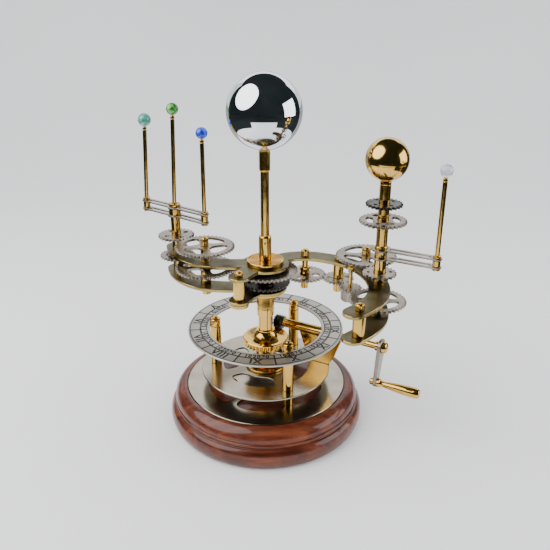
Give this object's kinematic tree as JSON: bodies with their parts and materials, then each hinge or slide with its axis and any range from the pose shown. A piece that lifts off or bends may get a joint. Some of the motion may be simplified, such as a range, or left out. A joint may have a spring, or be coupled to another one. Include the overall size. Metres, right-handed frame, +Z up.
{
  "type": "geared orrery",
  "caption": "Brass desk orrery on a turned wooden base: a crank turns an S-shaped geared frame that carries planet beads on rods around a mirror-bright sun ball.",
  "frame": {"origin": "centre of the wooden base's underside", "axes": "+Z up along the sun column; +X towards the right end of the frame; -Y towards the side the picture is taken from"},
  "size_m": [0.2862, 0.2186, 0.3554],
  "materials": {
    "brass": "polished",
    "plate_brass": "satin, dull olive",
    "gear_steel": "satin nickel",
    "dark_steel": "dark satin",
    "silver_plate": "polished, lightly brushed",
    "mirror_steel": "mirror",
    "wood": "red-brown gloss varnish",
    "teal_stone": "polished stone bead",
    "green_stone": "polished glass bead",
    "blue_stone": "polished glass bead",
    "crystal": "clear glass bead"
  },
  "bodies": {
    "base": {"wood_base": "wood", "base_plate": "silver_plate", "middle_plate": "silver_plate", "dial_ring": "silver_plate", "pillar_1": "brass", "pillar_2": "brass", "pillar_3": "brass", "fixed_post": "brass", "sun_gear_upper": "gear_steel", "sun_gear_lower": "dark_steel", "sun_rod": "brass", "sun_ball": "mirror_steel", "crank_bearing": "brass", "bearing_web": "brass"},
    "arm_frame": {"upper_arm_plate": "plate_brass", "lower_arm_plate": "plate_brass", "tail_plate": "plate_brass", "drive_sleeve": "brass", "drive_wheel": "brass", "hub_disc": "brass", "front_pillar": "brass", "tip_pillar": "brass", "left_axle": "brass", "front_idler_axle": "brass", "middle_idler_axle": "brass", "pinion_axle": "brass", "upper_idler_axle": "brass", "planet_post": "brass", "planet_ball": "brass", "reference_gear": "dark_steel"},
    "left_pair": {"left_lower_gear": "gear_steel", "left_upper_gear": "gear_steel", "left_gear_sleeve": "brass"},
    "left_spindle": {"left_spindle_gear": "gear_steel", "centre_rod": "brass", "green_bead": "green_stone"},
    "left_carrier": {"left_tube_gear": "gear_steel", "left_tube": "brass", "left_bar_lower": "gear_steel", "left_bar_upper": "gear_steel", "teal_rod": "brass", "teal_bead": "teal_stone", "blue_rod": "brass", "blue_bead": "blue_stone"},
    "front_wheel": {"front_idler": "gear_steel"},
    "middle_wheel": {"middle_idler": "gear_steel"},
    "pinion_wheel": {"pinion_drum": "gear_steel"},
    "right_carrier": {"right_lower_gear": "gear_steel", "right_tube": "brass", "right_middle_gear": "gear_steel", "moon_gear": "gear_steel", "moon_bar_lower": "gear_steel", "moon_bar_upper": "gear_steel", "moon_rod": "brass", "crystal_bead": "crystal"},
    "upper_wheel": {"upper_idler": "gear_steel"},
    "crank": {"crank_shaft": "brass", "worm_pinion": "dark_steel", "crank_arm": "gear_steel"},
    "handle": {"crank_handle": "brass"}
  },
  "joints": [
    {"name": "frame_turn", "type": "hinge", "parent": "base", "child": "arm_frame", "pos_m": [0, 0, 0.15], "axis": [0, 0, 1], "continuous": true},
    {"name": "crank_turn", "type": "hinge", "parent": "base", "child": "crank", "pos_m": [0.01527, 0.02755, 0.094], "axis": [0.8746, -0.4848, 0], "continuous": true},
    {"name": "handle_spin", "type": "hinge", "parent": "crank", "child": "handle", "pos_m": [0.01063, 0.01918, 0.05826], "axis": [0.8746, -0.4848, 0], "continuous": true},
    {"name": "left_pair_turn", "type": "hinge", "parent": "arm_frame", "child": "left_pair", "pos_m": [-0.0599, 0.00598, 0.166], "axis": [0, 0, 1], "continuous": true},
    {"name": "left_spindle_turn", "type": "hinge", "parent": "arm_frame", "child": "left_spindle", "pos_m": [-0.09234, 0.03887, 0.166], "axis": [0, 0, 1], "continuous": true},
    {"name": "left_carrier_turn", "type": "hinge", "parent": "arm_frame", "child": "left_carrier", "pos_m": [-0.09234, 0.03887, 0.188], "axis": [0, 0, 1], "continuous": true},
    {"name": "front_wheel_turn", "type": "hinge", "parent": "arm_frame", "child": "front_wheel", "pos_m": [0.04013, 0.01829, 0.153], "axis": [0, 0, 1], "continuous": true},
    {"name": "middle_wheel_turn", "type": "hinge", "parent": "arm_frame", "child": "middle_wheel", "pos_m": [0.07358, 0.008, 0.153], "axis": [0, 0, 1], "continuous": true},
    {"name": "pinion_turn", "type": "hinge", "parent": "arm_frame", "child": "pinion_wheel", "pos_m": [0.08317, -0.01531, 0.153], "axis": [0, 0, 1], "continuous": true},
    {"name": "right_carrier_turn", "type": "hinge", "parent": "arm_frame", "child": "right_carrier", "pos_m": [0.10591, -0.04373, 0.153], "axis": [0, 0, 1], "continuous": true},
    {"name": "upper_wheel_turn", "type": "hinge", "parent": "arm_frame", "child": "upper_wheel", "pos_m": [0.09912, -0.00087, 0.181], "axis": [0, 0, 1], "continuous": true}
  ],
  "couplings": [
    {"joint": "crank_turn", "follows": "frame_turn", "ratio": 2.6667},
    {"joint": "left_pair_turn", "follows": "frame_turn", "ratio": 1.0476},
    {"joint": "left_spindle_turn", "follows": "frame_turn", "ratio": -1.8333},
    {"joint": "left_carrier_turn", "follows": "frame_turn", "ratio": -1.7181},
    {"joint": "front_wheel_turn", "follows": "frame_turn", "ratio": 1.1724},
    {"joint": "middle_wheel_turn", "follows": "frame_turn", "ratio": -1.619},
    {"joint": "pinion_turn", "follows": "frame_turn", "ratio": 2.2667},
    {"joint": "right_carrier_turn", "follows": "frame_turn", "ratio": -0.91892},
    {"joint": "upper_wheel_turn", "follows": "frame_turn", "ratio": 0.47067}
  ]
}
